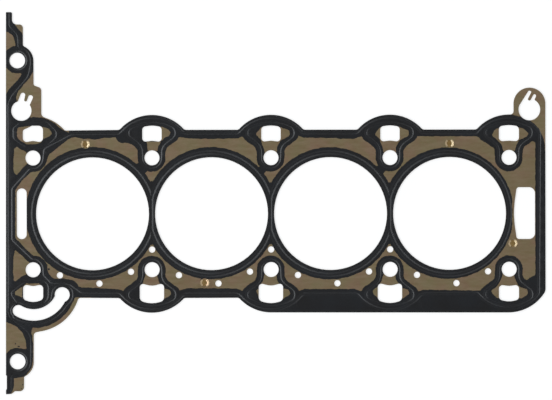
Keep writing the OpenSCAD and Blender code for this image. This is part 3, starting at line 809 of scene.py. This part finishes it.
def lathe(profile, c, n=48):
    """Vertices and faces of a turned piece: profile from the top centre to the bottom centre."""
    verts, faces = [], []
    rings = []
    for r, z in profile:
        if r == 0:
            rings.append([len(verts)])
            verts.append((c[0], c[1], z))
        else:
            rings.append(list(range(len(verts), len(verts) + n)))
            verts += [(c[0] + r * math.cos(2 * math.pi * i / n), c[1] + r * math.sin(2 * math.pi * i / n), z) for i in range(n)]
    for p, q in zip(rings, rings[1:]):
        for i in range(n):
            j = (i + 1) % n
            if len(p) == 1:
                faces.append((p[0], q[i], q[j]))
            elif len(q) == 1:
                faces.append((p[i], q[0], p[j]))
            else:
                faces.append((p[i], q[i], q[j], p[j]))
    return verts, faces


# flush rivets: a dished head with a rounded rim at each end
half = [(0, 1.062), (1.2, 1.062), (1.55, 1.064), (1.7, 1.072), (1.8, 1.088), (1.95, 1.125), (2.1, 1.165), (2.25, 1.205),
        (2.36, 1.232), (2.42, 1.24), (2.47, 1.225), (2.5, 1.18), (2.5, 1.04), (1.45, 1.04)]
profile = half + [(r, STACK - z) for r, z in reversed(half)]
verts, faces, finish = [], [], []
for c in RIVET_C:
    vv, ff = lathe(profile, c)
    for f in ff:
        x = sum(vv[i][0] for i in f) / len(f) - c[0]
        y = sum(vv[i][1] for i in f) / len(f) - c[1]
        r = math.hypot(x, y)
        # the right side of each rim takes the painted highlight, the far left a dimmer painted highlight, and the rest
        # dark brown: the centre's colour and painted shade on the rim's top and bottom
        finish.append(0 if r > 1.75 and x > r * 0.5 else 1 if r > 1.95 and x < -r * 0.62 else 2)
    faces += [tuple(i + len(verts) for i in f) for f in ff]
    verts += vv
me = bpy.data.meshes.new("sheet_rivets_dished")
me.from_pydata([(x / 1000, y / 1000, z / 1000) for x, y, z in verts], [], faces)
me.update()
me.polygons.foreach_set("use_smooth", np.ones(len(me.polygons), bool))
me.set_sharp_from_angle(angle=math.radians(50))
me.polygons.foreach_set("material_index", np.array(finish, np.int32))
for m in (mat_rivet_highlight, mat_dim_highlight, mat_dark_centre_and_shade):
    me.materials.append(m)
rivets = bpy.data.objects.new("sheet_rivets_dished", me)
bpy.context.scene.collection.objects.link(rivets)
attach(rivets, "root")
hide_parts("sheet_rivets")

for ob in bpy.data.objects:
    if ob.type == "MESH" and ob.name.startswith("flat_middle_sheet"):
        if not ob.data.materials:
            ob.data.materials.append(mat_middle)
        for s in ob.material_slots:
            s.material = mat_middle

# ---------------------------------------------------------------- floor, light, camera
me = bpy.data.meshes.new("floor")
n_floor = 8
size = 3.0
fv = [((i / n_floor - 0.5) * 2 * size, (j / n_floor - 0.5) * 2 * size, -0.00002) for j in range(n_floor + 1) for i in range(n_floor + 1)]
ff = [(j * (n_floor + 1) + i, j * (n_floor + 1) + i + 1, (j + 1) * (n_floor + 1) + i + 1, (j + 1) * (n_floor + 1) + i)
      for j in range(n_floor) for i in range(n_floor)]
me.from_pydata(fv, [], ff)
floor = bpy.data.objects.new("floor", me)
bpy.context.scene.collection.objects.link(floor)
m, nt, sh, vec = new_material("pale_floor")
base = ramp(nt, noise(nt, vec, 6, 2), [(0.3, (0.34, 0.34, 0.34)), (0.7, (0.36, 0.36, 0.36))])
nt.links.new(base, sh.inputs["Base Color"])
nt.links.new(mapped(nt, noise(nt, vec, 40, 2), 0.85, 0.95), sh.inputs["Roughness"])
sh.inputs["Specular IOR Level"].default_value = 0.1
sh.inputs["Emission Color"].default_value = (1, 1, 1, 1)
sh.inputs["Emission Strength"].default_value = 0.70
me.materials.append(m)


def area(name, at, aim, size, size_y, power, color=(1, 1, 1)):
    li = bpy.data.lights.new(name, "AREA")
    li.shape = "RECTANGLE"
    li.size, li.size_y = size, size_y
    li.energy = power
    li.color = color
    ob = bpy.data.objects.new(name, li)
    ob.location = at
    ob.rotation_euler = (Vector(aim) - Vector(at)).to_track_quat("-Z", "Y").to_euler()
    bpy.context.scene.collection.objects.link(ob)
    return ob


def softbox(name, off, azimuth, dist, wide, high, radiance, color=(1, 1, 1)):
    """A square soft light, off degrees from straight above, that shines with the given radiance."""
    at = (dist * sind(off) * cosd(azimuth), dist * sind(off) * sind(azimuth), dist * cosd(off))
    sx, sy = 2 * dist * math.tan(math.radians(wide / 2)), 2 * dist * math.tan(math.radians(high / 2))
    return area(name, at, (0, 0, 0), sx, sy, radiance * math.pi * sx * sy, color)


softbox("key_left", 40, 180, 7.0, 50, 26, 3.15, (0.93, 0.97, 1.0))
softbox("key_left_up", 40, 122, 7.0, 26, 26, 2.15, (0.93, 0.97, 1.0))
softbox("key_left_down", 40, 238, 7.0, 26, 26, 2.1, (0.93, 0.97, 1.0))

world = bpy.data.worlds.new("soft_grey")
world.use_nodes = True
# a pale studio: darker straight above, lighter lower down
nt = world.node_tree
bg = nt.nodes["Background"]
bg.inputs[0].default_value = (0.93, 0.96, 1.0, 1)
co = nt.nodes.new("ShaderNodeTexCoord")
sep = nt.nodes.new("ShaderNodeSeparateXYZ")
nt.links.new(co.outputs["Generated"], sep.inputs[0])
mr = nt.nodes.new("ShaderNodeMapRange")
mr.interpolation_type = "SMOOTHSTEP"
mr.inputs["From Min"].default_value, mr.inputs["From Max"].default_value = 0.86, 0.995
mr.inputs["To Min"].default_value, mr.inputs["To Max"].default_value = 0.52, 0.10
nt.links.new(sep.outputs[2], mr.inputs["Value"])
nt.links.new(mr.outputs[0], bg.inputs[1])
bpy.context.scene.world = world
bpy.context.scene.view_settings.view_transform = "Standard"

cam = bpy.data.cameras.new("camera")
cam.type = "PERSP"
cam.sensor_fit = "HORIZONTAL"
cam.sensor_width = 36
cam.lens = 300
cam.clip_start, cam.clip_end = 0.05, 20
camera = bpy.data.objects.new("camera", cam)
view_w = 0.7225e-3 * 552
camera.location = (0.00358, 0.00983, STACK / 1000 + view_w * cam.lens / cam.sensor_width)
camera.rotation_euler = (0, 0, -0.0013)
bpy.context.scene.collection.objects.link(camera)
bpy.context.scene.camera = camera

bpy.context.view_layer.update()
